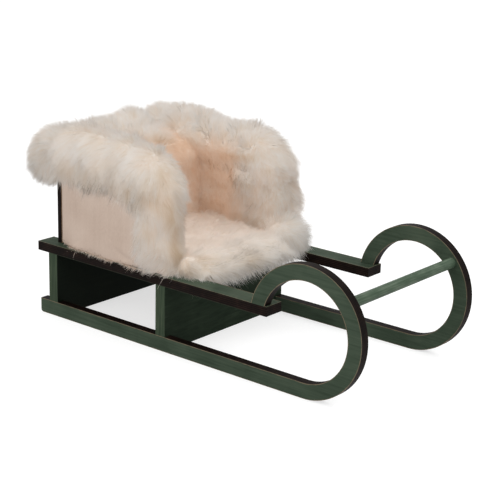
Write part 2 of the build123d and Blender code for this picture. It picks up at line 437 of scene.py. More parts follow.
def wobble(points, scale, seed, waves=7):
    """Smooth seeded noise from -1 to 1 over points in mm; scale is its usual wavelength."""
    rng = np.random.default_rng(seed)
    way = rng.normal(size=(waves, 3))
    way /= np.linalg.norm(way, axis=1)[:, None]
    way *= (2 * np.pi / scale) * rng.uniform(0.6, 1.6, (waves, 1))
    phase = rng.uniform(0, 2 * np.pi, waves)
    return np.sin(points @ way.T + phase).sum(1) / np.sqrt(waves / 2) / 1.8


def drift(points, scale, seed):
    """Three such noises, as vectors."""
    return np.stack([wobble(points, scale, seed + k) for k in range(3)], 1)


def unit(v):
    return v / np.maximum(np.linalg.norm(v, axis=-1, keepdims=True), 1e-9)


def smooth(value, low, high):
    t = np.clip((value - low) / (high - low), 0, 1)
    return t * t * (3 - 2 * t)


def mesh_object(name, verts, faces, smooth_faces=True):
    """A mesh object from points in mm."""
    mesh = bpy.data.meshes.new(name)
    mesh.from_pydata((np.asarray(verts) * MM).tolist(), [], faces)
    if smooth_faces:
        mesh.polygons.foreach_set("use_smooth", [True] * len(mesh.polygons))
    made = bpy.data.objects.new(name, mesh)
    scene.collection.objects.link(made)
    return made


def tube(centres, across, tall, sides=28):
    """A closed tube round a line of centres (mm) that starts along +X or +Y. Its half sizes are across,
    level at the start, and tall, upright at the start."""
    centres = np.asarray(centres, float)
    way = unit(np.gradient(centres, axis=0))
    rows, a = [], np.linspace(0, 2 * np.pi, sides, endpoint=False)
    side = unit(np.cross(way[0], (0, 0, 1.0)))
    for c, w, wide, high in zip(centres, way, across, tall):
        side = unit(side - w * (side @ w))
        up = np.cross(side, w)
        rows.append(c + wide * np.cos(a)[:, None] * side + high * np.sin(a)[:, None] * up)
    points = np.concatenate(rows + [centres[:1], centres[-1:]])
    count, faces = len(centres), []
    for i in range(count - 1):
        for j in range(sides):
            k = (j + 1) % sides
            faces.append((i * sides + j, i * sides + k, (i + 1) * sides + k, (i + 1) * sides + j))
    for j in range(sides):
        k = (j + 1) % sides
        faces.append((count * sides, k, j))
        faces.append((count * sides + 1, (count - 1) * sides + j, (count - 1) * sides + k))
    return points, faces


def capsule(start, end, radius, steps=30, shape=None):
    """A tube with round ends from start to end (mm); shape(y) scales its radius."""
    start, end = np.asarray(start, float), np.asarray(end, float)
    t = 0.5 - 0.5 * np.cos(np.linspace(0, np.pi, steps))
    centres = start + (end - start) * t[:, None]
    length = np.linalg.norm(end - start)
    room = np.minimum(t, 1 - t) * length
    radii = radius * np.sqrt(np.clip(1 - (1 - np.clip(room / radius, 0, 1)) ** 2, 0.0005, 1))
    if shape is not None:
        radii = radii * shape(centres[:, 1])
    return tube(centres, radii, radii)


def prism(outline, axis, low, high):
    """A block whose outline (mm) lies across the given axis, from low to high along it."""
    flat = np.array(outline, float)
    count = len(flat)
    points = np.concatenate([np.insert(flat, axis, level, axis=1) for level in (low, high)])
    faces = [tuple(range(count))[::-1], tuple(range(count, 2 * count))]
    faces += [(i, (i + 1) % count, count + (i + 1) % count, count + i) for i in range(count)]
    return points, faces


def volume(points, faces):
    """Signed volume of a closed mesh; negative if its faces look inwards."""
    total = 0.0
    for face in faces:
        for j in range(1, len(face) - 1):
            total += points[face[0]] @ np.cross(points[face[j]], points[face[j + 1]])
    return total / 6


def outward(points, faces):
    return points, [face[::-1] for face in faces] if volume(points, faces) < 0 else faces


def joined(shapes):
    points, faces, start = [], [], 0
    for p, f in shapes:
        p, f = outward(p, f)
        points.append(p)
        faces += [tuple(i + start for i in face) for face in f]
        start += len(p)
    return np.concatenate(points), faces


def apply_modifiers(obj):
    """Bakes the modifiers into the mesh."""
    graph = bpy.context.evaluated_depsgraph_get()
    mesh = bpy.data.meshes.new_from_object(obj.evaluated_get(graph))
    old = obj.data
    obj.modifiers.clear()
    obj.data = mesh
    mesh.name = obj.name
    bpy.data.meshes.remove(old)
    return obj


def remesh(obj, voxel, smoothing):
    modifier = obj.modifiers.new("remesh", "REMESH")
    modifier.mode = "VOXEL"
    modifier.voxel_size = voxel * MM
    modifier.use_smooth_shade = True
    even = obj.modifiers.new("even", "SMOOTH")
    even.factor = 0.5
    even.iterations = smoothing
    return apply_modifiers(obj)


# Boards and covers that the soft pieces lie against

COVER_BULGES = [(0.0, 0.0), (0.13, 0.5), (0.48, 0.83), (1.0, 1.0)]
BOX_REAR, BOX_FRONT = local(13.2), local(111.0)
PANEL_OUT, PANEL_IN = 49.1, 45.6
RAIL_TOP, BOARD_TOP, COVER_TOP, PANEL_TOP = 48.0, 51.5, 97.0, 106.0
BACK_TOP, BACK_END = 108.0, 50.6
REACH_SOFT, REACH_MORE = 69.0, 6.4


def cover_out(x):
    """How far out the side cover's face is at x, in mm."""
    along = np.clip((np.asarray(x) - BOX_REAR) / (BOX_FRONT - BOX_REAR), 0, 1)
    return 50.6 + 6.0 * np.interp(along, *zip(*COVER_BULGES))


def cover_block(side, room):
    """The side cover's own space, room wider all round."""
    xs = [BOX_REAR + along * (BOX_FRONT - BOX_REAR) for along, _ in COVER_BULGES]
    outline = [(x, side * (cover_out(x) + room)) for x in xs]
    outline += [(x, side * (PANEL_OUT - room)) for x in (xs[-1], xs[0])]
    return prism(outline, 2, RAIL_TOP - room, COVER_TOP + room)


def board_block(name, room):
    low, high = (np.array(corner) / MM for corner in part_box(name))
    low, high = low - room, high + room
    outline = [(low[0], low[1]), (high[0], low[1]), (high[0], high[1]), (low[0], high[1])]
    return prism(outline, 2, low[2], high[2])


def block(name, room):
    if name.endswith("_side_cover"):
        return cover_block(1 if name.startswith("left") else -1, room)
    return board_block(name, room)


def cut_out(obj, names, room=0.15):
    """Cuts the boards that a soft piece is wrapped round out of it, one at a time."""
    for name in names:
        cutter = mesh_object("cutter", *outward(*block(name, room)), smooth_faces=False)
        cut = obj.modifiers.new("cut", "BOOLEAN")
        cut.operation = "DIFFERENCE"
        cut.solver = "MANIFOLD"
        cut.object = cutter
        apply_modifiers(obj)
        bpy.data.objects.remove(cutter)
    return obj


def gap_to(points, names):
    """Distance in mm from each point to the nearest named board, zero inside one."""
    nearest = np.full(len(points), 99.0)
    for name in names:
        low, high = (np.array(corner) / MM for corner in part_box(name))
        off = np.maximum(np.maximum(low - points, points - high), 0)
        nearest = np.minimum(nearest, np.linalg.norm(off, axis=1))
    return nearest


def vertex_arrays(obj):
    """The mesh's points in mm and its smooth normals."""
    found = []
    for what in ("co", "normal"):
        flat = np.empty(len(obj.data.vertices) * 3, np.float32)
        obj.data.vertices.foreach_get(what, flat)
        found.append(flat.reshape(-1, 3))
    return found[0] / MM, found[1]


def put_vertices(obj, co):
    """Moves the mesh's points to co, in mm."""
    obj.data.vertices.foreach_set("co", (co * MM).astype(np.float32).ravel())
    obj.data.update()


def ruffle(obj, seed, names, deep, fine):
    """Uneven swells and small tufts over a smooth hide, away from the boards it lies against."""
    co, normal = vertex_arrays(obj)
    rise = deep * wobble(co, 24, seed) + fine * wobble(co, 11, seed + 1) ** 2
    rise = rise + 0.3 * fine * wobble(co, 7, seed + 2)
    rise = rise * smooth(gap_to(co, names), 0.5, 4.0)
    put_vertices(obj, co + normal * rise[:, None])
    return obj


def tone_on(obj, tone):
    """Stores tone(points) on the hide's vertices for its material."""
    co, _ = vertex_arrays(obj)
    layer = obj.data.attributes.new("tone", "FLOAT", "POINT")
    layer.data.foreach_set("value", np.clip(tone(co), 0, 1).astype(np.float32))


def sample(obj, count, wanted, rng):
    """Seeded root points (mm) and smooth normals on obj's faces; wanted(P, N) is the share kept, 0 to 1."""
    mesh = obj.data
    mesh.calc_loop_triangles()
    co, normal = vertex_arrays(obj)
    tri = np.empty(len(mesh.loop_triangles) * 3, np.int32)
    mesh.loop_triangles.foreach_get("vertices", tri)
    tri = tri.reshape(-1, 3)
    a, b, c = co[tri[:, 0]], co[tri[:, 1]], co[tri[:, 2]]
    flat = np.cross(b - a, c - a)
    area = np.linalg.norm(flat, axis=1) / 2
    weight = area * np.clip(wanted((a + b + c) / 3, unit(flat)), 0, 1)
    pick = rng.choice(len(tri), count, p=weight / weight.sum())
    r1, r2 = np.sqrt(rng.random(count)), rng.random(count)
    bary = np.stack([1 - r1, r1 * (1 - r2), r1 * r2], 1)[:, :, None]
    chosen = tri[pick]
    return (co[chosen] * bary).sum(1), unit((normal[chosen] * bary).sum(1))


STEPS = 2
LOCK = 15 * PILE_SHARE
WIDTH = 0.24 / math.sqrt(PILE_SHARE)
STRAYS = 0.035
DIP = 0.5


def outwards(way, normals):
    """Takes away what points into the pelt."""
    return way - normals * np.minimum((way * normals).sum(1), 0)[:, None]


def grow(name, roots, normals, flow, length, tone, lift, rng, clump=0.3, droop=0.3, curl=0.17, keep_out=None):
    """A pile of fine tapered strands as one mesh, in locks that lean together at their tips.
    flow is each strand's combed direction and lift the share of the normal in its first direction."""
    count = len(roots)
    guides = max(8, int(count / LOCK))
    picked = rng.choice(count, guides, replace=False)
    tree = kdtree.KDTree(guides)
    for i, g in enumerate(picked):
        tree.insert(roots[g], i)
    tree.balance()
    near = np.array([tree.find(p)[1] for p in roots])

    lift = np.clip(lift + rng.normal(size=guides)[near] * 0.05, 0.08, 0.9)[:, None]
    stray = rng.random(count) < STRAYS
    length = length * (1 + 0.05 * rng.normal(size=guides)[near] + 0.14 * rng.normal(size=count) + 0.4 * stray)
    flow = unit(outwards(flow, normals) + rng.normal(size=(guides, 3))[near] * 0.10)
    way = unit(normals * lift + flow * (1 - lift) + rng.normal(size=(count, 3)) * 0.10)
    bend = (0.6 * drift(roots, 10.0, 11) + drift(roots, 28.0, 14)) * np.reshape(curl, (-1, 1))
    points = [roots]
    for k in range(STEPS):
        pull = outwards(bend + np.array([0, 0, -droop * (k + 1) / STEPS]), normals)
        way = unit(way + pull + rng.normal(size=(count, 3)) * 0.04)
        points.append(points[-1] + way * (length / STEPS)[:, None])
    points = np.stack(points, 1)
    guide = points[picked[near]]
    share = clump * (np.arange(STEPS + 1) / STEPS) ** 1.3
    share = share[None, :, None] * rng.uniform(0.2, 1.0, (count, 1, 1))
    points = points + (guide - points) * share
    uneven = rng.uniform(0.55, 1.45, guides)[near]
    # Depth in the partings sinks and shortens the strands and darkens them, partly as painted shade.
    depth = np.minimum(parting_and_painted_shade(points.reshape(-1, 3)).reshape(count, STEPS + 1) * uneven[:, None], 0.95)
    points = points[:, :1] + (points - points[:, :1]) * (1 - 0.25 * depth)[:, :, None]
    points = points - normals[:, None, :] * (DIP * depth)[:, :, None]
    if keep_out is not None:
        points = keep_out(points)
    tone = np.clip(tone + rng.normal(size=guides)[near] * 0.05 + rng.normal(size=count) * 0.06, 0.01, 0.99)
    worn = 1 - 0.13 * np.abs(rng.normal(size=guides)[near]) - 0.07 * np.abs(rng.normal(size=count))

    # Ribbons: two points for each step and one at the tip, broad side out
    along = unit(np.gradient(points, axis=1))
    face = unit(normals[:, None, :] + rng.normal(size=(count, 1, 3)) * 0.3)
    across = unit(np.cross(along, face))
    half = (WIDTH / 2) * rng.uniform(0.7, 1.3, count)[:, None] * np.linspace(1.0, 0.75, STEPS)[None, :]
    left = points[:, :STEPS] - across[:, :STEPS] * half[:, :, None]
    right = points[:, :STEPS] + across[:, :STEPS] * half[:, :, None]
    each = 2 * STEPS + 1
    verts = np.empty((count, each, 3))
    verts[:, 0:-1:2], verts[:, 1:-1:2], verts[:, -1] = left, right, points[:, STEPS]
    quads = [i for k in range(0, 2 * STEPS - 2, 2) for i in (k, k + 1, k + 3, k + 2)]
    loops = np.array(quads + [each - 3, each - 2, each - 1])
    loop_index = (np.arange(count)[:, None] * each + loops[None, :]).reshape(-1)
    sizes = np.tile([4] * (STEPS - 1) + [3], count)
    mesh = bpy.data.meshes.new(name)
    mesh.vertices.add(count * each)
    mesh.vertices.foreach_set("co", (verts * MM).astype(np.float32).ravel())
    mesh.loops.add(len(loop_index))
    mesh.loops.foreach_set("vertex_index", loop_index.astype(np.int32))
    mesh.polygons.add(len(sizes))
    mesh.polygons.foreach_set("loop_start", np.concatenate([[0], np.cumsum(sizes)[:-1]]).astype(np.int32))
    mesh.polygons.foreach_set("use_smooth", np.ones(len(sizes), bool))
    mesh.update(calc_edges=True)

    # Map: u by tone, v from root to tip, drawn back towards the darker roots at random and in the partings,
    # partly as painted shade
    v_at = np.append(np.repeat(np.arange(STEPS) / STEPS, 2), 1.0)
    u_side = np.append(np.tile([-1.0, 1.0], STEPS), 0.0) * 0.003
    u_all = tone[:, None] * 0.98 + 0.01 + u_side[None, :]
    depth = np.column_stack([np.repeat(depth[:, :STEPS], 2, axis=1), depth[:, STEPS]])
    v_all = 0.004 + (0.28 + 0.71 * v_at[None, :]) * (1 - depth) * np.maximum(worn, 0.5)[:, None]
    uv = np.stack([u_all, v_all], 2).reshape(-1, 2)[loop_index]
    layer = mesh.uv_layers.new(name=UV_NAME)
    layer.data.foreach_set("uv", uv.astype(np.float32).ravel())

    # Shading normals: the pelt's own, but hardly facing down, turned a little by each lock and strand
    facing = np.column_stack([normals[:, :2], np.maximum(normals[:, 2], -0.15)])
    lean = unit(unit(facing) + 0.07 * unit(guide[:, -1] - guide[:, 0]) + rng.normal(size=(count, 3)) * 0.05)
    shade = np.repeat(lean, each, axis=0)
    mesh.normals_split_custom_set_from_vertices(shade.astype(np.float32))
    made = bpy.data.objects.new(name, mesh)
    scene.collection.objects.link(made)
    return made


# The fur pieces

BACK_X, BACK_Z, BACK_R = local(9.7), 107.0, 15.0
HIDE_VOXEL, HIDE_SMOOTHING = 1.5, 8

# The crest's thickness along y, as a share of the roll's
CREST = [
    (-65, 1.22), (-50, 1.12), (-38, 0.88), (-26, 0.72), (-12, 0.92), (-4, 0.74), (8, 1.08),
    (18, 1.07), (26, 0.92), (33, 0.68), (41, 0.82), (52, 1.06), (65, 1.32),
]

# The arms, by their side of the sleigh: their rolls, how far they spread, sag (by x) and their tufts
ROLL_WIDE, ROLL_DEEP = 13.0, 14.2
ARMS = {
    -1: dict(word="right", y=48.8, front=local(99.5), deep=15.5, wide=8.8, top=111.5, bend=12.0),
    1: dict(word="left", y=47.35, front=local(108.0), deep=13.0, wide=12.5, top=109.5, bend=21.0),
}
SPREAD = {-1: 2.8, 1: 0.0}
SAG = {
    -1: [(30, 0.0), (60, 1.5), (80, 3.5), (92, 6.0), (104, 5.0)],
    1: [(30, -1.5), (40, -1.0), (50, 1.2), (60, 4.0), (70, 4.0), (80, 3.2), (92, 2.4), (104, 0.5)],
}
TUFTS = {
    -1: ((local(76), -52.0, 105.5), (local(109.5), -50.2, 104.5), 13.1),
    1: ((local(80), 41.0, 93.0), (local(104), 42.0, 89.0), 7.5),
}
WRAPPED = ["backrest_panel", "right_side_panel", "left_side_panel", "right_side_cover", "left_side_cover"]


def make_back_hide():
    def dip(y):
        return np.interp(y, *zip(*CREST))

    roll = capsule((BACK_X, -62, BACK_Z), (BACK_X, 65, BACK_Z), BACK_R, shape=dip)
    outline = [(13.5, 56), (52, 56), (52, 101), (46, 108), (30, 112.5), (13.5, 114)]
    lining = prism([(local(x), z) for x, z in outline], 1, -45.2, 45.2)
    hide = mesh_object("back_pelt_hide", *joined([roll, lining]))
    cut_out(remesh(hide, HIDE_VOXEL, HIDE_SMOOTHING), WRAPPED)
    return ruffle(hide, 51, WRAPPED, 1.0, 0.5)


def arm_neighbours(word):
    return [word + "_side_panel", word + "_side_cover", "seat_board", word + "_rail", "backrest_panel"]


def make_arm_hide(name, side):
    shape = ARMS[side]
    y = side * shape["y"]
    front, bend, top = shape["front"], shape["bend"], shape["top"]
    turn = np.radians(np.linspace(90, 0, 14))
    centres = [(x, y, top) for x in np.linspace(local(16), front - bend, 12)[:-1]]
    centres += [(front - bend + bend * np.cos(a), y, top - bend + bend * np.sin(a)) for a in turn]
    centres += [(front, y, z) for z in np.linspace(top - bend, 53, 12)[1:]]
    centres = np.array(centres)
    t = np.linspace(0, 1, len(centres))
    down = smooth(t, 0.3, 0.75)
    centres[:, 1] += side * SPREAD[side] * down
    places, drops = zip(*SAG[side])
    sag = np.interp(centres[:, 0], local(np.array(places)), drops)
    centres[:, 2] -= sag * smooth(centres[:, 2], 60, 100)
    ends = np.ones(len(t))
    ends[:3], ends[-3:] = (0.6, 0.9, 1.0), (0.95, 0.75, 0.3)
    wide = (ROLL_WIDE + (shape["wide"] - ROLL_WIDE) * down) * ends
    deep = (ROLL_DEEP + (shape["deep"] - ROLL_DEEP) * down) * ends
    roll = tube(centres, wide, deep)
    inner = side * (PANEL_IN - 0.2)
    low_y, high_y = sorted((inner, inner - side * 5.0))
    lining = prism([(local(44), 56), (front, 56), (front, 110), (local(44), 110)], 1, low_y, high_y)
    tuft = capsule(*TUFTS[side][:2], TUFTS[side][2])
    low_y, high_y = sorted((side * 44.6, side * 56.0))
    rim = BOX_FRONT + 2.4
    sheath = [(local(104), 53), (rim - 0.4, 53), (rim, 105), (BOX_FRONT - 1, 109), (local(104), 109)]
    hide = mesh_object(name, *joined([roll, lining, tuft, prism(sheath, 1, low_y, high_y)]))
    names = arm_neighbours(shape["word"])
    cut_out(remesh(hide, HIDE_VOXEL, HIDE_SMOOTHING), names)
    return ruffle(hide, 61 + side, names, 0.9, 0.3)


def make_seat_hide():
    outline = [(45, 51.7), (45, 58.5), (110, 57.5), (120, 56.0)]
    outline += [(133, 52.0), (133, 49), (112, 49), (112, 51.7)]
    flat = prism([(local(x), z) for x, z in outline], 1, -44.5, 44.5)
    nose = capsule((local(119), -47, 52.6), (local(119), 49, 52.6), 5.4)
    hump = capsule((local(112), 41, 57.0), (local(134), 41, 57.0), 8.5)
    fold = capsule((local(60), 38, 58.5), (local(80), 27, 57.0), 3.0)
    corner = capsule((local(114), -50, 54.0), (local(119), -36, 53.0), 5.6)
    hide = mesh_object("seat_pelt_hide", *joined([flat, nose, hump, fold, corner]))
    names = ["seat_board", "right_rail", "left_rail", "right_side_panel", "left_side_panel"]
    cut_out(remesh(hide, HIDE_VOXEL, HIDE_SMOOTHING), names)
    return ruffle(hide, 71, names, 0.3, 0.1)


def keep_off(points):
    """Moves each strand's points out of the boards, covers and rails, and back to its root's half."""
    rng = np.random.default_rng(5)
    loose = rng.uniform(0.1, 0.9, points.shape[:2])
    x, z = points[:, :, 0], points[:, :, 2]
    out = np.abs(points[:, :, 1])
    sign = np.where(points[:, :1, 1] < 0, -1.0, 1.0)
    rooted_out = out[:, :1] > PANEL_OUT - 0.5
    in_box = (x > BOX_REAR - 3.5) & (x < BOX_FRONT)
    face = cover_out(x)
    off = np.where(rooted_out & in_box & (z < COVER_TOP) & (out < face + 0.3), face + 0.2 + loose, out)
    inner = ~rooted_out & in_box & (z < PANEL_TOP) & (out > PANEL_IN - 0.3)
    off = np.where(inner, PANEL_IN - 0.3 - loose, off)
    low = (z < BACK_TOP + 0.3) & (off < BACK_END + 0.2)
    behind = x[:, :1] < local(11.4)
    x = np.where(low & behind, np.minimum(x, local(9.5) - loose), x)
    x = np.where(low & ~behind, np.maximum(x, local(13.4) + loose), x)
    beside = (x < BOX_FRONT + 4) & (off < 75)
    low = (z < RAIL_TOP + 0.3) & (z > 40) & (off > 43.5) & ((off < 57.7) | beside)
    z = np.where(low, RAIL_TOP + 0.3 + 0.9 * loose, z)
    z = np.where((z < BOARD_TOP + 0.2) & in_box & (off < PANEL_IN), BOARD_TOP + 0.4, z)
    off = np.where(off > REACH_SOFT, REACH_SOFT + REACH_MORE * np.tanh((off - REACH_SOFT) / REACH_MORE), off)
    return np.stack([x, sign * off, z], 2)


# Lines and spots where the pile parts and lies deeper, and its strands and hide are drawn towards the tan
# roots and a darker tone:
# partly the roots showing, partly painted shade. Points (x ahead of the heels, y, z), reach and strength. The
# wide weak ones are painted shade, warmer and darker, over front and low parts where the pile lies deeper.
PARTINGS_AND_PAINTED_SHADE = [
    ([(30, -64, 100), (60, -64, 96), (90, -63, 95)], 8.0, 0.26),
    ([(27, -62, 101), (38, -62, 97), (50, -62, 95)], 4.5, 0.25),
    ([(72, -63, 95), (90, -62, 97)], 4.0, 0.22),
    ([(89, -62, 87), (94, -62, 91.5), (101, -62, 94), (107, -62, 93.5)], 3.0, 0.60),
    ([(112, -60, 112), (112, -58, 107)], 4.5, 0.40),
    ([(112, -57, 108), (116, -55, 84), (117, -52, 58)], 12.0, 0.26),
    ([(103, -64, 102), (109, -62, 94), (113, -60, 88)], 7.0, 0.28),
    ([(56, -62, 117), (58, -62, 108), (68, -62, 107)], 6.5, 0.22),
    ([(116, -60, 92), (119, -60, 80), (119, -58, 66)], 4.0, 0.40),
    ([(99, -62, 73), (102, -62, 70)], 3.2, 0.45),
    ([(119, -53, 60), (119, -50, 54)], 4.2, 0.85),
    ([(122, -36, 57), (124, -32, 55)], 3.2, 0.85),
    ([(120, -46, 50), (130, 0, 50)], 8.5, 0.55),
    ([(130, 4, 50), (130, 45, 50)], 6.5, 0.30),
    ([(46, 4, 115), (46, 7, 108)], 4.2, 0.60),
    ([(47, 5, 110), (50, 22, 109), (50, 34, 106)], 6.5, 0.50),
    ([(51, 36, 96), (51, 38, 84)], 7.0, 0.18),
    ([(77, 34, 102), (90, 34, 103.5), (101, 34, 104)], 2.2, 0.80),
    ([(64, 37, 98), (64, 37, 79)], 1.4, 0.45),
    ([(65, 37, 79), (76, 37, 81)], 1.4, 0.50),
    ([(51, 36, 68), (62, 37, 68), (74, 37, 67)], 2.2, 0.65),
    ([(44, 33, 60), (52, 38, 60), (70, 38, 60)], 2.6, 0.65),
    ([(84, 37, 62), (112, 37, 61)], 3.2, 0.40),
    ([(108, 44, 104), (110, 44, 84), (112, 44, 64)], 11.0, 0.15),
]
THROUGH = np.array([0.604, -0.743, 0.289])


def squeezed(points):
    """Points drawn together along the way that the partings and their painted shade run through the pile, so
    that they reach deep.
    """
    return points - 0.7 * (points @ THROUGH)[:, None] * THROUGH


def parting_and_painted_shade(p):
    found = np.zeros(len(p))
    p = squeezed(p)
    for line, reach, strength in PARTINGS_AND_PAINTED_SHADE:
        line = squeezed(np.array([(local(x), y, z) for x, y, z in line]))
        room = 2.5 * reach
        close = np.nonzero(((p > line.min(0) - room) & (p < line.max(0) + room)).all(1))[0]
        q = p[close]
        nearest = np.full(len(q), np.inf)
        for a, b in zip(line, line[1:]):
            along = np.clip((q - a) @ (b - a) / ((b - a) @ (b - a)), 0, 1)
            nearest = np.minimum(nearest, ((q - a - along[:, None] * (b - a)) ** 2).sum(1))
        found[close] += strength * np.exp(-nearest / reach**2)
    return np.clip(found, 0, 0.95)


def dress(hide, name, node, roots, normals, flow, length, tone, lift, rng, seat=False, **how):
    # The hide's tone goes on into painted shade in the partings.
    tone_on(hide, lambda points: np.minimum(tone(points), 0.88) + 0.3 * parting_and_painted_shade(points) ** 2)
    pile = grow(name, roots, normals, flow, length, tone(roots), lift, rng, keep_out=keep_off, **how)
    pile.data.materials.append(SEAT_PILE_PAINTED_LIGHT if seat else PILE)
    hide.data.materials.clear()
    hide.data.materials.append(SEAT_HIDE_PAINTED_LIGHT if seat else HIDE)
    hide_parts(node)
    for piece in (hide, pile):
        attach(piece, "root")
    for seen_by in ("visible_shadow", "visible_diffuse", "visible_transmission"):
        setattr(pile, seen_by, False)


PILE = pile_material("fur_pile", PALE_HAIR, PEACH_HAIR)
# The seat's pile and hide are lit copies of the fur: painted light.
SEAT_PILE_PAINTED_LIGHT = pile_material("fur_seat_pile_painted_light", PALE_HAIR, SEAT_HAIR_PAINTED_LIGHT)
HIDE = hide_material("fur_hide", HIDE_PALE, HIDE_PEACH)
SEAT_HIDE_PAINTED_LIGHT = hide_material("fur_seat_hide_painted_light", HIDE_PALE, HIDE_SEAT_PAINTED_LIGHT)
STRANDS = int(64000 * PILE_SHARE)
DOWN = np.array([0, 0, -1.0])


def column(values, vector):
    """A vector for each strand, scaled by its value."""
    return np.asarray(values)[:, None] * np.array([vector], float)


def back_fur():
    rng = np.random.default_rng(101)
    hide = make_back_hide()

    def inside(p):
        level = 116 - 6 * np.exp(-(((p[:, 1] - 10) / 15) ** 2))
        found = smooth(p[:, 0], local(20), local(31)) * smooth(level - p[:, 2], -3, 5)
        return found * smooth(46 - np.abs(p[:, 1]), 0, 4)

    def wanted(p, n):
        share = np.where((p[:, 0] > local(16)) & (p[:, 2] < 90), np.where(n[:, 0] > 0.3, 0.55, 0.0), 1.0)
        share[gap_to(p, WRAPPED) < 0.4] = 0
        return share

    def tone(p):
        low = smooth(84 - p[:, 2], 0, 16)
        far = smooth(p[:, 1], 8, 36)
        return 0.08 + (0.78 - 0.20 * low - 0.12 * far) * inside(p) + 0.06 * wobble(p, 18, 25)

    p, n = sample(hide, STRANDS, wanted, rng)
    inner = inside(p)
    meeting = inner * (1 - inner)
    ends = smooth(np.abs(p[:, 1]), 44, 60)
    rear = smooth(local(9) - p[:, 0], 0, 12)
    under = smooth(BACK_Z - p[:, 2], -4, 12)
    flow = column(1 - inner, (-0.45, 0, 0.05)) + column(ends * np.sign(p[:, 1]), (0, 0.8, 0))
    flow = flow + column(inner * 1.2 + rear * 0.7 + under * ends * 0.6, DOWN)
    flow = flow + column(inner * smooth(p[:, 2], 98, 106), (1, 0, 0))
    flow = unit(flow + column(3.2 * meeting, (0, 1, 0)) + 0.20 * drift(p, 24, 21))
    lift = 0.34 - 0.16 * inner + 0.04 * ends + 0.5 * meeting
    length = 7.6 + 0.8 * wobble(p, 26, 24) - 1.4 * inner
    dress(hide, "back_pelt_pile", "back_pelt", p, n, flow, length, tone, lift, rng)


FAN = np.array([local(80), 36.0, 90.0])
SWIRL = np.array([local(92), 38.0, 88.0])


def arm_fur(side):
    word = ARMS[side]["word"]
    front_x = ARMS[side]["front"]
    rng = np.random.default_rng(200 + side)
    hide = make_arm_hide(word + "_arm_pelt_hide", side)
    names = arm_neighbours(word)

    def wanted(p, n):
        share = np.ones(len(p))
        lining = (side * p[:, 1] < 44) & (p[:, 2] < 98) & (p[:, 0] < front_x - 8)
        share[lining] = np.where(side * n[:, 1] < -0.3, 0.6, 0.0)[lining]
        share[gap_to(p, names) < 0.4] = 0
        share[(n[:, 0] < -0.8) & (p[:, 0] < local(34))] = 0.2
        share[(n[:, 2] < -0.8) & (p[:, 2] < 60)] = 0.3
        return share

    def inside(p):
        found = smooth(44.0 - side * p[:, 1], -3, 5) * smooth(115 - p[:, 2], -2, 12)
        return found * smooth(front_x + 1 - p[:, 0], 6, 34)

    def tone(p):
        # Painted shade: the front of the arm is drawn towards the deeper, warmer tone.
        front_painted_shade = smooth(p[:, 0], front_x - 10, front_x + 4) * smooth(108 - p[:, 2], 0, 14)
        swirl = 0.30 * np.exp(-((p - SWIRL) ** 2).sum(1) / 8.0**2)
        return 0.09 + 0.62 * inside(p) + 0.10 * front_painted_shade - swirl + 0.06 * wobble(p, 16, 35)

    p, n = sample(hide, STRANDS, wanted, rng)
    inner = inside(p)
    outer = smooth(side * p[:, 1], 47, 56)
    front = smooth(p[:, 0], front_x - 12, front_x + 4)
    rear = smooth(local(36) - p[:, 0], 0, 14)
    flow = column(0.5 * (1 - inner) * (1 - front), (0, side, 0)) + column(front, (0.4, 0, 0))
    flow = flow + column(inner, (0.75, 0, -0.15)) + column(0.9 * outer + 0.75 * front, DOWN)
    flow = flow + column(rear, (-0.7, 0, 0)) + 0.28 * drift(p, 20, 31)
    if side > 0:
        fan = unit((p - FAN) * (1, 0, 1))
        fan[:, 2] = np.minimum(fan[:, 2], 0.1)
        fanned = smooth(103 - p[:, 2], 0, 6) * smooth(p[:, 0], local(76), local(88)) * inner
        flow = flow + fan * fanned[:, None]
    flow = unit(flow)
    lift = 0.38 - 0.16 * inner - 0.10 * outer + 0.7 * inner * (1 - inner)
    slim = front * smooth(51 - side * p[:, 1], 0, 4) * smooth(100 - p[:, 2], 0, 8)
    length = 7.6 + 1.0 * wobble(p, 24, 34) - 1.0 * inner + 4.0 * outer - 3.4 * slim
    curl = 0.17 + 0.22 * front * smooth(106 - p[:, 2], 0, 10) + 0.08 * outer
    dress(hide, word + "_arm_pelt_pile", word + "_arm_pelt", p, n, flow, length, tone, lift, rng, curl=curl)


def seat_fur():
    rng = np.random.default_rng(303)
    hide = make_seat_hide()

    def wanted(p, n):
        share = np.where(n[:, 2] > 0.2, 0.7, 0.0)
        nose = p[:, 0] > local(111)
        share[nose] = 1.0
        share[nose & (n[:, 2] < -0.6)] = 0.3
        return share

    # High tone on the seat picks its lighter copy of the fur, painted light; the nose runs to the pale fur.
    def tone(p):
        return 0.95 - 0.72 * smooth(p[:, 0], local(112), local(127)) + 0.04 * wobble(p, 16, 45)

    p, n = sample(hide, STRANDS, wanted, rng)
    nose = smooth(p[:, 0], local(106), local(122))
    flow = np.array([[0.9, 0, 0.0]]) + column(0.4 * nose, DOWN)
    flow = flow + column(np.sign(p[:, 1]) * smooth(np.abs(p[:, 1]), 36, 50), (0, 0.5, 0))
    flow = unit(flow + 0.22 * drift(p, 24, 41))
    lift = 0.28 + 0.10 * nose
    length = 6.5 + 4.5 * nose + 1.0 * wobble(p, 18, 44)
    dress(hide, "seat_pelt_pile", "seat_pelt", p, n, flow, length, tone, lift, rng, seat=True, droop=0.2)


# The side covers: a thin pad that swells under a taut short-nap fabric

PAD_PROUD = 2.2
PAD_SWELL = 1.6
PAD_FRAMES = 20
PAD_CORNER = 4.0
PAD_PRESSURE = 4.0
PAD_MASS = 0.02


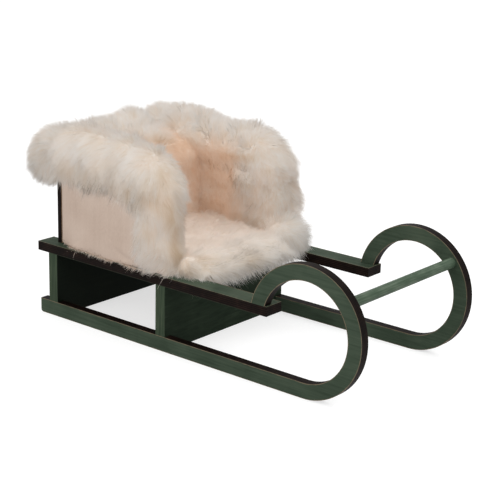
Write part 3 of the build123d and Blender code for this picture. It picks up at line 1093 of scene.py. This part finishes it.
def swell(pad, held):
    """Blows the pad up by cloth simulation; held marks the points that stay where they are."""
    before, _ = vertex_arrays(pad)
    group = pad.vertex_groups.new(name="held")
    group.add(np.nonzero(held)[0].tolist(), 1.0, "REPLACE")
    cloth = pad.modifiers.new("cloth", "CLOTH")
    cloth.settings.use_pressure = True
    cloth.settings.uniform_pressure_force = PAD_PRESSURE
    cloth.settings.vertex_group_mass = "held"
    cloth.settings.mass = PAD_MASS
    cloth.settings.effector_weights.gravity = 0.0
    cloth.collision_settings.use_collision = False
    for number in range(1, PAD_FRAMES + 1):
        scene.frame_set(number)
    apply_modifiers(pad)
    scene.frame_set(1)
    after, _ = vertex_arrays(pad)
    move = after - before
    far = np.linalg.norm(move, axis=1, keepdims=True)
    move = move * (PAD_SWELL * np.tanh(far / PAD_SWELL) / np.maximum(far, 1e-6))
    put_vertices(pad, before + move)


def make_pad():
    """The left cover; the right one is its mirror image."""
    xs = np.linspace(BOX_REAR + 0.1, BOX_FRONT - 0.6, 12)
    proud = PAD_PROUD * smooth(xs, local(15), local(34)) * (1 - smooth(xs, local(74), local(92)))
    outline = list(zip(xs, cover_out(xs) + proud))
    outline += [(xs[-1], PANEL_OUT + 0.05), (xs[0], PANEL_OUT + 0.05)]
    pad = mesh_object("left_side_cover_pad", *outward(*prism(outline, 2, RAIL_TOP + 0.2, COVER_TOP - 0.5)))
    bevel = pad.modifiers.new("bevel", "BEVEL")
    bevel.width = 1.2 * MM
    bevel.segments = 3
    bevel.limit_method = "ANGLE"
    apply_modifiers(pad)
    remesh(pad, 0.9, 2)
    co, _ = vertex_arrays(pad)
    swell(pad, co[:, 1] < PANEL_OUT + 0.7)
    co, _ = vertex_arrays(pad)
    corner = np.array([BOX_REAR, RAIL_TOP]) + PAD_CORNER
    inset = co[:, (0, 2)] - corner
    away = np.linalg.norm(inset, axis=1)
    beyond = (inset < 0).all(1) & (away > PAD_CORNER)
    co[beyond, 0] = corner[0] + inset[beyond, 0] * PAD_CORNER / away[beyond]
    co[beyond, 2] = corner[1] + inset[beyond, 1] * PAD_CORNER / away[beyond]
    co[:, 1] = np.maximum(co[:, 1], PANEL_OUT + 0.02)
    co[:, 0] = np.maximum(co[:, 0], BOX_REAR + 0.02)
    co[:, 2] = np.maximum(co[:, 2], RAIL_TOP + 0.02)
    put_vertices(pad, co)
    return pad


def side_covers():
    left = make_pad()
    right = bpy.data.objects.new("right_side_cover_pad", left.data.copy())
    right.data.name = right.name
    scene.collection.objects.link(right)
    right.data.transform(Matrix.Diagonal((1.0, -1.0, 1.0, 1.0)))
    right.data.flip_normals()
    for pad, node in ((left, "left_side_cover"), (right, "right_side_cover")):
        pad.data.materials.append(NAP)
        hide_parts(node)
        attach(pad, "root")


def cover_fuzz():
    """A few loose hairs along the covers' lower edges, where they meet the rails."""
    rng = np.random.default_rng(404)
    count = int(1500 * PILE_SHARE)
    side = rng.choice([-1.0, 1.0], count)
    x = rng.uniform(BOX_REAR + 4, BOX_FRONT - 14, count)
    bunched = wobble(np.column_stack([x, side * 50, 0 * x]), 9, 77)
    out = cover_out(x) + 0.5 + 1.2 * (x > local(30))
    roots = np.column_stack([x, side * out, np.full(count, RAIL_TOP + 1.0)])
    normals = unit(np.column_stack([0 * x, side, np.full(count, 0.4)]))
    flow = unit(np.column_stack([rng.normal(size=count), 0.8 * side, rng.normal(size=count) * 0.4 - 0.3]))
    length = np.maximum(1.5 + 1.6 * bunched + rng.normal(size=count), 0.5)
    tone = np.full(count, 0.4)
    how = dict(clump=0.1, droop=0.5, curl=0.5)
    fuzz = grow("side_cover_fuzz", roots, normals, flow, length, tone, 0.3, rng, **how)
    fuzz.data.materials.append(PILE)
    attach(fuzz, "root")


NAP = nap_material("side_nap")

side_covers()
back_fur()
arm_fur(-1)
arm_fur(1)
seat_fur()
cover_fuzz()

# Stage

FLOOR_SIZE = 6.0
FLOOR_GLOW = 0.62
WORLD_LEVEL = 0.88
LAMP_SIZE = 1.0
LAMPS = {"key": ((-0.15, -1.3, 0.7), 6.5), "fill": ((1.2, -0.3, 1.0), 4.0), "top": ((0.1, 0.6, 1.5), 3.5)}
LIGHT_BOUNCES = 8


def make_stage():
    bpy.ops.mesh.primitive_plane_add(size=FLOOR_SIZE, location=(0, 0, 0))
    floor = bpy.context.object
    floor.name = "floor"
    n = Nodes("floor_paper")
    path = n.new("ShaderNodeLightPath").outputs
    seen = n.math("MAXIMUM", path["Is Camera Ray"], path["Is Glossy Ray"])
    seen = n.math("MAXIMUM", seen, path["Is Transmission Ray"])
    paper = n.new("ShaderNodeBsdfDiffuse")
    paper.inputs["Color"].default_value = (0.5, 0.5, 0.5, 1)
    glow = n.new("ShaderNodeEmission")
    glow.inputs["Strength"].default_value = FLOOR_GLOW
    lit = n.new("ShaderNodeAddShader")
    n.set(lit.inputs[0], paper.outputs[0])
    n.set(lit.inputs[1], glow.outputs[0])
    mixer = n.new("ShaderNodeMixShader")
    n.set(mixer.inputs[0], seen)
    n.set(mixer.inputs[1], paper.outputs[0])
    n.set(mixer.inputs[2], lit.outputs[0])
    n.set(n.out.inputs["Surface"], mixer.outputs[0])
    floor.data.materials.append(n.mat)


def make_world(strength):
    world = bpy.data.worlds.new("studio")
    scene.world = world
    world.use_nodes = True
    tree = world.node_tree
    tree.nodes.clear()
    path = tree.nodes.new("ShaderNodeLightPath").outputs
    seen = path["Is Camera Ray"]
    for other in ("Is Glossy Ray", "Is Transmission Ray"):
        most = tree.nodes.new("ShaderNodeMath")
        most.operation = "MAXIMUM"
        tree.links.new(seen, most.inputs[0])
        tree.links.new(path[other], most.inputs[1])
        seen = most.outputs[0]
    mixer = tree.nodes.new("ShaderNodeMixShader")
    tree.links.new(seen, mixer.inputs[0])
    for socket, level in ((mixer.inputs[1], strength), (mixer.inputs[2], 1.0)):
        sky = tree.nodes.new("ShaderNodeBackground")
        sky.inputs["Color"].default_value = (1, 1, 1, 1)
        sky.inputs["Strength"].default_value = level
        tree.links.new(sky.outputs[0], socket)
    out = tree.nodes.new("ShaderNodeOutputWorld")
    tree.links.new(mixer.outputs[0], out.inputs["Surface"])


def make_lamp(name, place, watts):
    lamp = bpy.data.lights.new(name, "AREA")
    lamp.shape = "DISK"
    lamp.size = LAMP_SIZE
    lamp.energy = watts
    holder = bpy.data.objects.new(name, lamp)
    holder.location = place
    holder.rotation_euler = (Vector((0, 0, 0.05)) - Vector(place)).to_track_quat("-Z", "Y").to_euler()
    scene.collection.objects.link(holder)


CAMERA_LENS = 100.266
CAMERA_PLACE = (0.52988, -0.64441, 0.30774)
CAMERA_AXES = (
    (0.7711060, 0.6362255, 0.0247496),
    (-0.2024492, 0.2081440, 0.9569171),
    (0.6036637, -0.7428951, 0.2893044),
)


def make_camera():
    data = bpy.data.cameras.new("camera")
    data.sensor_width = 36.0
    data.lens = CAMERA_LENS
    data.clip_start = 0.01
    camera = bpy.data.objects.new("camera", data)
    camera.matrix_world = Matrix.Translation(CAMERA_PLACE) @ Matrix(CAMERA_AXES).transposed().to_4x4()
    scene.collection.objects.link(camera)
    scene.camera = camera


scene.view_settings.view_transform = "Standard"
make_camera()
make_stage()
make_world(WORLD_LEVEL)
for name, (place, watts) in LAMPS.items():
    make_lamp(name, place, watts)
scene.cycles.diffuse_bounces = LIGHT_BOUNCES
